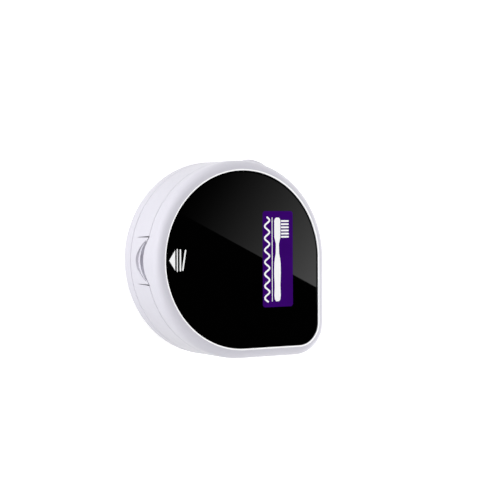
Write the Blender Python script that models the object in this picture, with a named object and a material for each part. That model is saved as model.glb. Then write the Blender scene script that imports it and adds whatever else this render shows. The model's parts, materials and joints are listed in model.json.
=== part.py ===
"""Toothbrush sanitizer: a round clamshell pod that shines UV light on the head of a brush.

The pod lies on its back. +Z points out of the front panel, +X towards the lid hinge, and the
brush lies along Y, its neck leaving through the flat wall at -Y. The origin is the centre of
the round body on the back face. Dimensions are in millimetres, and become metres when a mesh
is made.
"""

import math

import bmesh
import bpy
from mathutils import Matrix, Vector

MM = 0.001

# Body: a circle whose lower right quarter is squared off, in three stacked shells.
WIDTH = 67.45
DEPTH = 25.8
BODY_R = WIDTH / 2
CORNER_R = 11.2
WALL = 2.0
GAP = 0.3
REAR_SEAM_Z = 7.0
PARTING_Z = 18.7
BACK_INSET = 4.34
BACK_RISE = 3.41
SHOULDER_INSET = 3.55
SHOULDER_RISE = 3.58
FLOOR = 1.8
ARC_STEPS = 45
CORNER_STEPS = 6

# Front panel, let into the lid.
PANEL_INSET = 3.545
PANEL_TOP = 25.55
PANEL_THICK = 1.2
TAPE_THICK = 0.2
LIP_INSET = 2.8
LID_PLATE_LOW = 22.6
LID_PLATE_HIGH = 24.05

# Lid hinge, along Y in the right wall.
HINGE_X = BODY_R - 2.2
HINGE_Z = PARTING_Z
KNUCKLE_R = 2.05
RELIEF_R = 2.4
PIN_R = 0.75
BORE_R = 0.84
HINGE_START = -21.6
KNUCKLES = (("base", 3.4), ("lid", 4.8), ("base", 2.6), ("lid", 4.8), ("base", 3.4))
WEDGE_SLOPE = math.tan(math.radians(54))

# Release tab, in the left wall between two slits.
TAB_HALF = 7.6
TAB_LOW = 11.2
TAB_INNER_X = -29.7
TAB_ROOT = (-32.7, 0.0, 11.0)
SLIT_LOW = 0.3
SLIT_HIGH = 0.8
BULGE_LOW = 16.0
BULGE_GAP = 0.35
SCOOP_Z = 17.96
SCOOP_R = 7.15
SCOOP_DEPTH = 2.3
HOOK_HALF = 3.5
CATCH_X = -31.3
HOOK_REACH = -31.22

# Power button, in a domed bezel on the wall. Angles are counted from +X.
BUTTON_ANGLE = 69.5
BUTTON_PROUD = 2.2
BUTTON_Z = (REAR_SEAM_Z + PARTING_Z) / 2
DOME_R = 4.2
DOME_FLAT = 2.0
BEZEL_R = 5.6
BUTTON_R = 4.1
BUTTON_HOLE_R = 4.35

# Brush chamber and the slot for the brush neck.
TUB_LOW = (0.5, -30.6, 4.7)
TUB_HIGH = (22.5, 13.0, 17.5)
TUB_WALL = 1.0
TUB_FLOOR = 1.2
TUB_CORNER = 3.0
TUB_FLOOR_TOP = TUB_LOW[2] + TUB_FLOOR
DECK_LOW = 17.3
DECK_HIGH = 18.4
NECK_X = 11.5
NECK_R = 5.0
NECK_Z = 13.9
SEAL_THICK = 1.0
FLANGE_HALF = NECK_R + 1.4
TONGUE_HALF = 3.6
LINER_INSET = 7.0
LINER_THICK = 0.8

# The lamp under the tub: a window in its floor, and a board with three LEDs.
WINDOW_LOW = (7.0, -18.0)
WINDOW_HIGH = (16.0, 6.0)
WINDOW_SEAT = 1.0
WINDOW_THICK = 0.55
LAMP_BOARD_LOW = (6.5, -17.0, 2.2)
LAMP_BOARD_HIGH = (16.5, 5.0, 3.2)
LED_HALF = 1.75
LED_YS = (-13.0, -6.0, 1.0)

# Electronics.
BOARD_Z = 9.6
BOARD_TOP = 10.6
BOARD_R = 29.2
BOARD_SCREWS = ((-12.5, 22.0), (3.0, 21.0))
SOLDER_GAP = 0.1
USB_ANGLE = 48
USB_HALF = 4.47
USB_TALL = 3.26
USB_SKIN = 0.35
LIGHT_ANGLE = 35
LIGHT_Z = BOARD_TOP + 1.2
MAGNET_ANGLE = 100
MAGNET_REACH = 29.6
MAGNET_R = 1.5
MAGNET_TALL = 3.0
BATTERY_LOW = (-24.0, -15.0, 2.4)
BATTERY_HIGH = (-4.0, 15.0, 10.4)
BATTERY_CORNER = 1.5

# Bosses and posts, close enough to the wall to grow out of it, and their screws.
BOSS_R = 2.8
BOSS_REACH = BODY_R - WALL - 2.3
BOSS_TOP = 17.1
POST_R = 3.0
BOARD_POST_R = 2.0
PILOT_R = 0.95
CLEARANCE_R = 1.15
COUNTERBORE_R = 2.15
COUNTERBORE_DEEP = 2.0
LEDGE = 0.85

SHELL = ("shell_plastic", (0.86, 0.855, 0.91), 0.38, 0.0)
PANEL = ("panel_acrylic", (0.004, 0.004, 0.005), 0.06, 0.0)
TAPE = ("adhesive", (0.75, 0.75, 0.72), 0.6, 0.0)
REFLECTOR = ("reflector", (0.82, 0.83, 0.85), 0.22, 1.0)
SILICONE = ("silicone", (0.72, 0.71, 0.76), 0.6, 0.0)
STEEL = ("steel", (0.62, 0.62, 0.63), 0.3, 1.0)
CIRCUIT = ("circuit_board", (0.02, 0.16, 0.06), 0.45, 0.0)
CHIP = ("chip_resin", (0.02, 0.02, 0.022), 0.5, 0.0)
CERAMIC = ("led_ceramic", (0.9, 0.88, 0.8), 0.4, 0.0)
WINDOW = ("window", (0.85, 0.9, 0.98), 0.05, 0.0)
FOIL = ("cell_foil", (0.55, 0.57, 0.6), 0.35, 1.0)
FOAM = ("foam", (0.05, 0.05, 0.05), 0.9, 0.0)
RED = ("lead_red", (0.55, 0.03, 0.03), 0.5, 0.0)
BLACK = ("lead_black", (0.02, 0.02, 0.02), 0.5, 0.0)
CONNECTOR = ("connector", (0.85, 0.84, 0.8), 0.5, 0.0)


# ---------------------------------------------------------------- points and outlines

def steps(start, end, count):
    """Evenly spaced values from start to end, both ends included."""
    return [start + (end - start) * i / count for i in range(count + 1)]


def polar(radius, degrees, centre=(0.0, 0.0)):
    """The point at a distance and an angle from a centre, in the XY plane."""
    angle = math.radians(degrees)
    return centre[0] + radius * math.cos(angle), centre[1] + radius * math.sin(angle)


def outline(inset):
    """The body's outline, moved inward: a 270 degree arc, two flats and the corner between."""
    radius = BODY_R - inset
    corner = CORNER_R - inset
    centre = (radius - corner, corner - radius)
    points = [polar(radius, a) for a in steps(0, 270, ARC_STEPS)]
    points += [polar(corner, a, centre) for a in steps(270, 360, CORNER_STEPS)]
    return points


def ring(inset, z):
    """The body's outline, moved inward, at one height."""
    return [Vector((x, y, z)) for x, y in outline(inset)]


def rounded_rectangle(low, high, radius):
    """A rectangle in the XY plane with its four corners rounded."""
    centres = ((high[0] - radius, high[1] - radius, 0), (low[0] + radius, high[1] - radius, 90),
               (low[0] + radius, low[1] + radius, 180), (high[0] - radius, low[1] + radius, 270))
    points = []
    for x, y, start in centres:
        points += [polar(radius, a, (x, y)) for a in steps(start, start + 90, 4)]
    return points


def radial(angle, reach, side, z):
    """A point at a distance along a radius of the body, and to one side of it."""
    x, y = polar(reach, angle)
    dx, dy = polar(side, angle + 90)
    return Vector((x + dx, y + dy, z))


def smooth_route(route, count):
    """Points on a smooth curve through the given ones."""
    points = [Vector(p) for p in route]
    ends = [2 * points[0] - points[1]] + points + [2 * points[-1] - points[-2]]
    result = []
    for i in range(len(points) - 1):
        a, b, c, d = ends[i:i + 4]
        for t in steps(0, 1, count)[:-1]:
            result.append(0.5 * (2 * b + (c - a) * t + (2 * a - 5 * b + 4 * c - d) * t ** 2
                                 + (3 * b - a - 3 * c + d) * t ** 3))
    return result + [points[-1]]


# ---------------------------------------------------------------- solids

def make(name, bm):
    """Turns a bmesh in millimetres into an object in metres, faces pointing out."""
    bmesh.ops.recalc_face_normals(bm, faces=bm.faces)
    bmesh.ops.scale(bm, vec=(MM, MM, MM), verts=bm.verts)
    mesh = bpy.data.meshes.new(name)
    bm.to_mesh(mesh)
    bm.free()
    piece = bpy.data.objects.new(name, mesh)
    bpy.context.scene.collection.objects.link(piece)
    return piece


def loft(name, rings, closed=False):
    """Joins rings of equal length by quads. Open lofts are capped, closed ones run round."""
    bm = bmesh.new()
    loops = [[bm.verts.new(p) for p in points] for points in rings]
    count = len(loops[0])
    pairs = list(zip(loops, loops[1:]))
    if closed:
        pairs.append((loops[-1], loops[0]))
    else:
        bm.faces.new(loops[0])
        bm.faces.new(loops[-1])
    for first, second in pairs:
        for i in range(count):
            j = (i + 1) % count
            bm.faces.new((first[i], first[j], second[j], second[i]))
    return make(name, bm)


def prism(name, points, low, high, axis="Z"):
    """Extrudes an outline along an axis. Points are given in the other two axes, in order."""
    places = {"X": lambda p, h: (h, p[0], p[1]),
              "Y": lambda p, h: (p[0], h, p[1]),
              "Z": lambda p, h: (p[0], p[1], h)}
    place = places[axis]
    return loft(name, [[Vector(place(p, h)) for p in points] for h in (low, high)])


def block(name, low, high):
    """A box between two corners."""
    corners = ((low[0], low[1]), (high[0], low[1]), (high[0], high[1]), (low[0], high[1]))
    return prism(name, corners, low[2], high[2])


def radial_block(name, angle, reach, half, low, high):
    """A box that faces the body's centre, between two distances from it."""
    corners = [radial(angle, r, s, 0).xy
               for r, s in ((reach[0], -half), (reach[1], -half), (reach[1], half), (reach[0], half))]
    return prism(name, corners, low, high)


def turned(name, profile, base, direction, sides=20):
    """Turns a profile of (radius, distance) pairs about an axis. Its ends are flat or a point."""
    axis = Vector(direction).normalized()
    across = axis.orthogonal().normalized()
    other = axis.cross(across)
    rings = []
    for radius, distance in profile:
        centre = Vector(base) + axis * distance
        rings.append([centre + radius * (math.cos(a) * across + math.sin(a) * other)
                      for a in (2 * math.pi * i / sides for i in range(sides))])
    return loft(name, rings)


def rod(name, start, end, radius, sides=20):
    """A cylinder between two points."""
    direction = Vector(end) - Vector(start)
    return turned(name, ((radius, 0), (radius, direction.length)), start, direction, sides)


def ball(name, centre, radius):
    bm = bmesh.new()
    bmesh.ops.create_uvsphere(bm, u_segments=32, v_segments=20, radius=radius)
    bmesh.ops.translate(bm, vec=centre, verts=bm.verts)
    return make(name, bm)


def combine(target, tool, operation):
    """Cuts, joins or keeps the overlap of two solids, and deletes the tool."""
    modifier = target.modifiers.new("combine", "BOOLEAN")
    modifier.operation = operation
    modifier.object = tool
    before = target.data
    depsgraph = bpy.context.evaluated_depsgraph_get()
    after = bpy.data.meshes.new_from_object(target.evaluated_get(depsgraph))
    target.modifiers.clear()
    target.data = after
    bpy.data.meshes.remove(before)
    after.name = target.name
    bpy.data.meshes.remove(tool.data)
    return target


def cut(target, tool):
    return combine(target, tool, "DIFFERENCE")


def join(target, tool):
    return combine(target, tool, "UNION")


def finish(piece, material, pivot=None):
    """Gives a piece its material, its shading and, if it moves, its pivot."""
    name, colour, roughness, metallic = material
    surface = bpy.data.materials.get(name)
    if surface is None:
        surface = bpy.data.materials.new(name)
        surface.use_nodes = True
        shader = surface.node_tree.nodes["Principled BSDF"]
        shader.inputs["Base Color"].default_value = (*colour, 1.0)
        shader.inputs["Roughness"].default_value = roughness
        shader.inputs["Metallic"].default_value = metallic
    piece.data.materials.clear()
    piece.data.materials.append(surface)
    piece.data.shade_smooth()
    piece.data.set_sharp_from_angle(angle=math.radians(35))
    if pivot is not None:
        piece.parent = pivot
        piece.matrix_parent_inverse = Matrix.Translation(-pivot.location)
    return piece


def pivot_at(name, place):
    """An empty on a joint's axis, which the moving pieces are parented to."""
    pivot = bpy.data.objects.new(name, None)
    pivot.location = Vector(place) * MM
    pivot.empty_display_size = 0.005
    bpy.context.scene.collection.objects.link(pivot)
    return pivot


# ---------------------------------------------------------------- shared shapes

def knuckle_spans(owner):
    """Where the knuckles of one shell lie along the hinge."""
    spans = []
    y = HINGE_START
    for name, length in KNUCKLES:
        if name == owner:
            spans.append((y, y + length))
        y += length + GAP
    return spans


HINGE_END = knuckle_spans("base")[-1][1]


def hinge_rod(name, low, high, radius):
    """A cylinder on the lid hinge's axis."""
    return rod(name, (HINGE_X, low, HINGE_Z), (HINGE_X, high, HINGE_Z), radius)


def add_knuckles(shell, owner, other, wedge_side):
    """Cuts the outer corner that would bind, makes room for the other shell's knuckles, and
    adds this shell's own with their bore."""
    far = 9.5
    corner = HINGE_Z + wedge_side * far * WEDGE_SLOPE
    past = HINGE_Z - wedge_side * 1.5
    wedge = ((HINGE_X, HINGE_Z), (HINGE_X + far, corner), (HINGE_X + far, past), (HINGE_X, past))
    cut(shell, prism("wedge", wedge, -32.0, 14.0, "Y"))
    for low, high in knuckle_spans(other):
        cut(shell, hinge_rod("relief", low - GAP, high + GAP, RELIEF_R))
    for low, high in knuckle_spans(owner):
        join(shell, hinge_rod("knuckle", low, high, KNUCKLE_R))
    cut(shell, hinge_rod("bore", HINGE_START - 1, HINGE_END + 1, BORE_R))


def bulge_edge(drop):
    """The curved lower edge of the lid between the slits, as (y, z) points from +Y to -Y."""
    sagitta = PARTING_Z - BULGE_LOW
    radius = (TAB_HALF ** 2 + sagitta ** 2) / (2 * sagitta)
    half_angle = math.degrees(math.asin(TAB_HALF / radius))
    centre = (0.0, BULGE_LOW + radius - drop)
    return [polar(radius, 270 + a, centre) for a in steps(half_angle, -half_angle, 12)]


def dome_height(radius):
    """How far from the body's centre the button's dome reaches, at a distance from its axis."""
    top = BODY_R + BUTTON_PROUD
    if radius <= DOME_FLAT:
        return top
    return top - DOME_R + math.sqrt(DOME_R ** 2 - (radius - DOME_FLAT) ** 2)


def dome_profile(inner, outer, count):
    """Points of the dome's profile, from its outer edge towards its middle."""
    return [(r, dome_height(r)) for r in steps(outer, inner, count)]


def on_button_axis(name, profile):
    """Turns a profile about the button's axis. Its distances are from the body's centre."""
    centre = (0.0, 0.0, BUTTON_Z)
    x, y = polar(1.0, BUTTON_ANGLE)
    return turned(name, profile, centre, (x, y, 0.0), sides=28)


def neck_slot(name, radius, low_y, high_y, top):
    """A U-shaped prism along Y, open upward."""
    points = [(NECK_X + radius, top), (NECK_X - radius, top)]
    points += [polar(radius, a, (NECK_X, NECK_Z)) for a in steps(180, 360, 16)]
    return prism(name, points, low_y, high_y, "Y")


def cover_screw_places():
    """Three bosses beside the round wall, and one in the squared-off corner."""
    side = BODY_R - CORNER_R
    places = [polar(BOSS_REACH, a) for a in (135, 225, 18)]
    places.append(polar(BOSS_REACH - side, 315, (side, -side)))
    return places


def tray_screw_places():
    """Two of the same bosses, whose tops hold the chamber tray."""
    places = cover_screw_places()
    return places[0], places[3]


# ---------------------------------------------------------------- shells

def rear_cover():
    """The dished rear shell, with its screw posts, board posts and battery ribs."""
    rings = [ring(BACK_INSET * (1 - math.sin(a)), BACK_RISE * (1 - math.cos(a)))
             for a in (math.radians(d) for d in steps(0, 90, 4))]
    rim = REAR_SEAM_Z - GAP / 2
    rings += [ring(0.0, rim), ring(WALL, rim), ring(WALL, 4.6), ring(3.0, 2.6), ring(4.9, FLOOR)]
    cover = loft("rear_cover", rings)
    root = FLOOR - 0.8
    for x, y in cover_screw_places():
        join(cover, rod("post", (x, y, root), (x, y, rim), POST_R))
    for x, y in BOARD_SCREWS:
        join(cover, rod("post", (x, y, root), (x, y, BOARD_Z - 0.2), BOARD_POST_R))
        cut(cover, rod("hole", (x, y, 4.5), (x, y, BOARD_Z), 0.75, 16))
    for x in (BATTERY_LOW[0] - 1.6, BATTERY_HIGH[0] + 0.6):
        join(cover, block("battery_rib", (x, -8.0, root), (x + 1.0, 8.0, 6.0)))
    for x in (LAMP_BOARD_LOW[0] + 1.0, LAMP_BOARD_HIGH[0] - 2.0):
        low = (x, LAMP_BOARD_LOW[1], root)
        high = (x + 1.0, LAMP_BOARD_HIGH[1], LAMP_BOARD_LOW[2] - 0.15)
        join(cover, block("lamp_rib", low, high))
    for x, y in cover_screw_places():
        cut(cover, rod("hole", (x, y, -1.0), (x, y, REAR_SEAM_Z + 1), CLEARANCE_R, 16))
        cut(cover, rod("counterbore", (x, y, -1.0), (x, y, COUNTERBORE_DEEP), COUNTERBORE_R))
    return finish(cover, SHELL)


def base_wall():
    """The ring-shaped wall, with the ledge that carries the chamber tray."""
    low = REAR_SEAM_Z + GAP / 2
    high = PARTING_Z - GAP / 2
    ledge = WALL + LEDGE
    rings = [ring(0.0, low), ring(0.0, high), ring(WALL, high), ring(WALL, BOSS_TOP),
             ring(ledge, BOSS_TOP), ring(ledge, BOSS_TOP - 1.0), ring(WALL, BOSS_TOP - 2.2),
             ring(WALL, low)]
    return loft("base_shell", rings, closed=True)


def add_screw_bosses(shell):
    low = REAR_SEAM_Z + GAP / 2
    for x, y in cover_screw_places():
        join(shell, rod("boss", (x, y, low), (x, y, BOSS_TOP - 0.05), BOSS_R))
        cut(shell, rod("hole", (x, y, low - 1), (x, y, 13.0), PILOT_R, 16))
    for x, y in tray_screw_places():
        cut(shell, rod("hole", (x, y, 13.8), (x, y, BOSS_TOP + 1), PILOT_R, 16))


def add_button_bezel(shell):
    dome = [(BEZEL_R, 31.9)] + dome_profile(BUTTON_HOLE_R + 0.2, BEZEL_R, 4)
    join(shell, on_button_axis("bezel", dome))
    cut(shell, on_button_axis("hole", ((BUTTON_HOLE_R, 28.0), (BUTTON_HOLE_R, 37.0))))


def cut_wall_ports(shell):
    """The USB slot, the light guide's hole and the slot for the brush neck."""
    usb_z = BOARD_TOP + SOLDER_GAP + USB_TALL / 2
    half = USB_HALF + GAP
    tall = USB_TALL / 2 + GAP
    cut(shell, radial_block("usb", USB_ANGLE, (29.0, 36.0), half - tall, usb_z - tall, usb_z + tall))
    for side in (tall - half, half - tall):
        ends = [radial(USB_ANGLE, r, side, usb_z) for r in (29.0, 36.0)]
        cut(shell, rod("usb_end", ends[0], ends[1], tall))
    ends = [radial(LIGHT_ANGLE, r, 0.0, LIGHT_Z) for r in (29.0, 36.0)]
    cut(shell, rod("light", ends[0], ends[1], 1.25))
    cut(shell, neck_slot("neck", NECK_R, -36.0, -29.0, 20.0))
    low = (NECK_X - FLANGE_HALF, WALL - BODY_R, 15.0)
    cut(shell, block("flange_room", low, (NECK_X + FLANGE_HALF, -30.0, 20.0)))


def cut_tab_window(shell):
    """The opening that the release tab fills, leaving a tapering slit on both sides."""
    low = TAB_LOW - GAP
    high = PARTING_Z + 1
    points = ((-TAB_HALF - SLIT_LOW, low), (TAB_HALF + SLIT_LOW, low),
              (TAB_HALF + SLIT_HIGH, high), (-TAB_HALF - SLIT_HIGH, high))
    cut(shell, prism("window", points, -36.0, -28.5, "X"))


def base_shell():
    shell = base_wall()
    add_screw_bosses(shell)
    add_button_bezel(shell)
    cut_wall_ports(shell)
    cut_tab_window(shell)
    high = PARTING_Z - GAP / 2
    left = HINGE_X - KNUCKLE_R
    brace = ((left, high), (left, 16.0), (32.0, 12.5), (32.6, 12.5), (32.6, high))
    join(shell, prism("brace", brace, HINGE_START - 0.5, HINGE_END + 0.5, "Y"))
    add_knuckles(shell, "base", "lid", -1)
    return finish(shell, SHELL)


def lid_shell(pivot):
    """The front shell: plate, panel recess, lip, rounded shoulder, wall and latch catch."""
    low = PARTING_Z + GAP / 2
    first = math.degrees(math.asin(1 - LIP_INSET / SHOULDER_INSET))
    rings = [ring(PANEL_INSET - GAP, LID_PLATE_HIGH), ring(PANEL_INSET - GAP, DEPTH - 0.05),
             ring(LIP_INSET + 0.2, DEPTH)]
    rings += [ring(SHOULDER_INSET * (1 - math.sin(a)), DEPTH - SHOULDER_RISE * (1 - math.cos(a)))
              for a in (math.radians(d) for d in steps(first, 90, 5))]
    rings += [ring(0.0, low), ring(WALL, low), ring(WALL, LID_PLATE_LOW)]
    shell = loft("lid_shell", rings)

    edge = [(TAB_HALF, PARTING_Z + 1)] + bulge_edge(0.0) + [(-TAB_HALF, PARTING_Z + 1)]
    bulge = prism("bulge", edge, -36.0, -20.0, "X")
    combine(bulge, prism("disc", outline(0.0), 14.0, 21.0), "INTERSECT")
    cut(bulge, prism("core", outline(WALL - 0.1), 13.0, 22.0))
    join(shell, bulge)
    join(shell, block("catch", (-32.3, -HOOK_HALF, 19.3), (CATCH_X, HOOK_HALF, 20.2)))
    tongue = block("tongue", (NECK_X - TONGUE_HALF, -33.2, 17.9), (NECK_X + TONGUE_HALF, -31.8, 19.5))
    join(shell, tongue)

    x, y = polar(MAGNET_REACH, MAGNET_ANGLE)
    join(shell, rod("magnet_boss", (x, y, low), (x, y, LID_PLATE_LOW + 0.1), MAGNET_R + 1.0))
    cut(shell, rod("magnet_hole", (x, y, low - 1), (x, y, LID_PLATE_LOW), MAGNET_R + 0.1))

    left = HINGE_X - KNUCKLE_R
    join(shell, block("brace", (left, HINGE_START - 0.5, low), (32.6, HINGE_END + 0.5, 22.8)))
    add_knuckles(shell, "lid", "base", 1)
    return finish(shell, SHELL, pivot)


def release_tab(pivot):
    """The flexing piece of wall between the slits, with its thumb scoop and its hook."""
    edge = [(TAB_HALF, TAB_LOW)] + bulge_edge(BULGE_GAP) + [(-TAB_HALF, TAB_LOW)]
    tab = prism("release_tab", edge, -36.0, TAB_INNER_X, "X")
    combine(tab, prism("disc", outline(0.0), 9.0, 21.0), "INTERSECT")
    inner = WALL - BODY_R
    hollow = ((inner, TAB_LOW - 1), (inner, TAB_LOW + 0.8), (TAB_INNER_X + 1, TAB_LOW + 3.2),
              (TAB_INNER_X + 1, TAB_LOW - 1))
    cut(tab, prism("hollow", hollow, -9.0, 9.0, "Y"))
    radius = (SCOOP_R ** 2 + SCOOP_DEPTH ** 2) / (2 * SCOOP_DEPTH)
    cut(tab, ball("scoop", (SCOOP_DEPTH - BODY_R - radius, 0.0, SCOOP_Z), radius))
    finger = ((-31.0, 14.5), (-31.0, 20.4), (HOOK_REACH, 20.5), (HOOK_REACH, 20.8),
              (-30.9, 21.4), (TAB_INNER_X - 0.05, 21.4), (TAB_INNER_X - 0.05, 14.5))
    join(tab, prism("finger", finger, -HOOK_HALF, HOOK_HALF, "Y"))
    return finish(tab, SHELL, pivot)


def front_panel(pivot):
    low = PANEL_TOP - PANEL_THICK
    rings = (ring(PANEL_INSET, low), ring(PANEL_INSET, PANEL_TOP - 0.15),
             ring(PANEL_INSET + 0.15, PANEL_TOP))
    return finish(loft("front_panel", rings), PANEL, pivot)


def panel_adhesive(pivot):
    high = PANEL_TOP - PANEL_THICK - 0.05
    points = outline(PANEL_INSET + 1.0)
    return finish(prism("panel_adhesive", points, high - TAPE_THICK, high), TAPE, pivot)


def lid_liner(pivot):
    """The reflective dish in the lid. Its rim stands just clear of the deck."""
    top = LID_PLATE_LOW - GAP
    dish = prism("lid_liner", outline(LINER_INSET), PARTING_Z + 0.25, top)
    inner = outline(LINER_INSET + LINER_THICK)
    cut(dish, prism("hollow", inner, PARTING_Z - 1, top - LINER_THICK))
    return finish(dish, REFLECTOR, pivot)


def lid_magnet(pivot):
    x, y = polar(MAGNET_REACH, MAGNET_ANGLE)
    high = LID_PLATE_LOW - GAP
    magnet = rod("lid_magnet", (x, y, high - MAGNET_TALL), (x, y, high), MAGNET_R)
    return finish(magnet, STEEL, pivot)


def lid_neck_seal(pivot):
    """A soft strip under the lid's tongue, which closes the neck slot from above."""
    low = (NECK_X - TONGUE_HALF, -33.1, 16.8)
    strip = block("lid_neck_seal", low, (NECK_X + TONGUE_HALF, -31.9, 17.7))
    return finish(strip, SILICONE, pivot)


# ---------------------------------------------------------------- chamber

def chamber_tray():
    """The deck over the electronics, with the reflective tub let into it."""
    tray = prism("chamber_tray", outline(WALL + GAP), DECK_LOW, DECK_HIGH)
    outer = rounded_rectangle(TUB_LOW, TUB_HIGH, TUB_CORNER + TUB_WALL)
    join(tray, prism("tub", outer, TUB_LOW[2], TUB_HIGH[2]))
    low = [v + TUB_WALL for v in TUB_LOW[:2]]
    high = [v - TUB_WALL for v in TUB_HIGH[:2]]
    floor = TUB_FLOOR_TOP
    cut(tray, prism("well", rounded_rectangle(low, high, TUB_CORNER), floor, 20.0))

    seat_low = [v - WINDOW_SEAT for v in WINDOW_LOW]
    seat_high = [v + WINDOW_SEAT for v in WINDOW_HIGH]
    cut(tray, block("window_seat", (*seat_low, floor - 0.7), (*seat_high, floor + 1)))
    cut(tray, block("window_hole", (*WINDOW_LOW, TUB_LOW[2] - 1), (*WINDOW_HIGH, floor + 1)))
    cut(tray, neck_slot("neck", NECK_R + 0.2, -33.0, TUB_LOW[1] + 2.0, 20.0))
    low = (NECK_X - FLANGE_HALF, -33.0, 16.0)
    cut(tray, block("neck_room", low, (NECK_X + FLANGE_HALF, -30.8, 20.0)))
    cut(tray, block("hinge_room", (28.6, HINGE_START - 1, 16.0), (34.0, HINGE_END + 1, 20.0)))
    cut(tray, block("tab_room", (-34.0, -9.5, 16.0), (-28.3, 9.5, 20.0)))
    for x, y in tray_screw_places():
        cut(tray, rod("hole", (x, y, 16.0), (x, y, 20.0), CLEARANCE_R, 16))
    return finish(tray, REFLECTOR)


def uv_window():
    """The pane in the tub's floor, a little smaller than its seat."""
    edge = WINDOW_SEAT - 0.15
    top = TUB_FLOOR_TOP - 0.05
    low = (WINDOW_LOW[0] - edge, WINDOW_LOW[1] - edge, top - WINDOW_THICK)
    high = (WINDOW_HIGH[0] + edge, WINDOW_HIGH[1] + edge, top)
    return finish(block("uv_window", low, high), WINDOW)


def uv_lamp():
    """The LED board under the window, and its three LEDs."""
    finish(block("uv_led_board", LAMP_BOARD_LOW, LAMP_BOARD_HIGH), CIRCUIT)
    low = LAMP_BOARD_HIGH[2] + SOLDER_GAP
    high = low + 0.9
    for i, y in enumerate(LED_YS):
        corners = ((NECK_X - LED_HALF, y - LED_HALF, low), (NECK_X + LED_HALF, y + LED_HALF, high))
        led = block(f"uv_led_{i + 1}", *corners)
        join(led, rod("lens", (NECK_X, y, high - 0.2), (NECK_X, y, high + 0.25), 1.3))
        finish(led, CERAMIC)


def neck_seal():
    """The soft U-shaped lining of the neck slot, with a flange inside the wall."""
    top = PARTING_Z - 0.3
    outer = NECK_R - 0.12
    seal = neck_slot("neck_seal", outer, -33.5, -31.0, top)
    flange = neck_slot("flange", NECK_R + 0.9, -31.4, -31.0, top)
    join(seal, flange)
    cut(seal, neck_slot("inside", outer - SEAL_THICK, -34.0, -30.0, top + 2))
    return finish(seal, SILICONE)


# ---------------------------------------------------------------- electronics

def control_board():
    """The board along the top of the pod, behind the button and the USB port."""
    arc = [polar(BOARD_R, a) for a in steps(30, 124, 20)]
    points = arc + [(arc[-1][0], 18.6), (12.0, 18.6), (12.0, 14.2), (arc[0][0], 14.2)]
    board = prism("control_board", points, BOARD_Z, BOARD_TOP)
    for x, y in BOARD_SCREWS:
        cut(board, rod("hole", (x, y, BOARD_Z - 1), (x, y, BOARD_TOP + 1), 1.0, 16))
    return finish(board, CIRCUIT)


def board_parts():
    """What is soldered on top of the control board."""
    low = BOARD_TOP + SOLDER_GAP
    finish(block("controller_chip", (-2.5, 23.5, low), (1.5, 27.5, low + 1.3)), CHIP)
    finish(block("hall_sensor", (-6.3, 26.4, low), (-3.5, 28.0, low + 1.1)), CHIP)
    finish(block("battery_plug", (-9.0, 19.4, low), (-4.6, 23.4, low + 3.2)), CONNECTOR)
    switch = radial_block("tact_switch", BUTTON_ANGLE, (25.0, 28.2), 3.0, low, low + 4.4)
    x, y = polar(28.0, BUTTON_ANGLE)
    end = polar(28.4, BUTTON_ANGLE)
    join(switch, rod("plunger", (x, y, BUTTON_Z), (*end, BUTTON_Z), 1.0, 16))
    finish(switch, CHIP)
    finish(radial_block("charge_led", LIGHT_ANGLE, (26.9, 28.0), 0.9, low, low + 1.3), CERAMIC)
    ends = [radial(LIGHT_ANGLE, r, 0.0, LIGHT_Z) for r in (28.3, 33.55)]
    finish(rod("light_guide", ends[0], ends[1], 1.0), WINDOW)


def usb_socket():
    """A metal shell open at the front, with the contact tongue inside."""
    low = BOARD_TOP + SOLDER_GAP
    high = low + USB_TALL
    middle = (low + high) / 2
    half = USB_HALF - USB_SKIN
    socket = radial_block("usb_socket", USB_ANGLE, (23.9, 31.2), USB_HALF, low, high)
    cut(socket, radial_block("mouth", USB_ANGLE, (25.5, 32.0), half, low + USB_SKIN, high - USB_SKIN))
    tongue = radial_block("tongue", USB_ANGLE, (25.0, 30.4), 3.3, middle - 0.35, middle + 0.35)
    join(socket, tongue)
    return finish(socket, STEEL)


def power_supply():
    """The flat lithium cell beside the tub, its foam pad, its leads and the lamp's lead."""
    outer = rounded_rectangle(BATTERY_LOW, BATTERY_HIGH, BATTERY_CORNER)
    finish(prism("battery_cell", outer, BATTERY_LOW[2], BATTERY_HIGH[2]), FOIL)
    low = (BATTERY_LOW[0] + 1, BATTERY_LOW[1] + 1, FLOOR + 0.1)
    high = (BATTERY_HIGH[0] - 1, BATTERY_HIGH[1] - 1, BATTERY_LOW[2] - 0.1)
    finish(block("battery_pad", low, high), FOAM)
    for i, (x, material) in enumerate(((-7.8, RED), (-5.8, BLACK))):
        route = ((x - 4.0, 15.3, 8.4), (x - 2.6, 16.4, 9.2), (x - 0.6, 17.2, 11.6), (x, 19.1, 12.4))
        finish(lead(f"battery_lead_{i + 1}", route, 0.45), material)
    route = ((11.5, 5.3, 2.7), (11.5, 9.0, 2.6), (11.0, 14.5, 3.4), (10.0, 17.5, 6.0),
             (9.5, 20.0, 9.2))
    finish(lead("led_lead", route, 0.5), BLACK)


def lead(name, route, radius):
    """A wire: a smooth tube with flat ends."""
    curve = bpy.data.curves.new(name, "CURVE")
    curve.dimensions = "3D"
    curve.bevel_depth = radius * MM
    curve.bevel_resolution = 2
    curve.use_fill_caps = True
    points = smooth_route(route, 4)
    spline = curve.splines.new("POLY")
    spline.points.add(len(points) - 1)
    for target, place in zip(spline.points, points):
        target.co = (*(place * MM), 1.0)
    wire = bpy.data.objects.new(name, curve)
    bpy.context.scene.collection.objects.link(wire)
    depsgraph = bpy.context.evaluated_depsgraph_get()
    mesh = bpy.data.meshes.new_from_object(wire.evaluated_get(depsgraph))
    bpy.data.objects.remove(wire)
    piece = bpy.data.objects.new(name, mesh)
    bpy.context.scene.collection.objects.link(piece)
    return piece


# ---------------------------------------------------------------- fasteners and button

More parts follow.
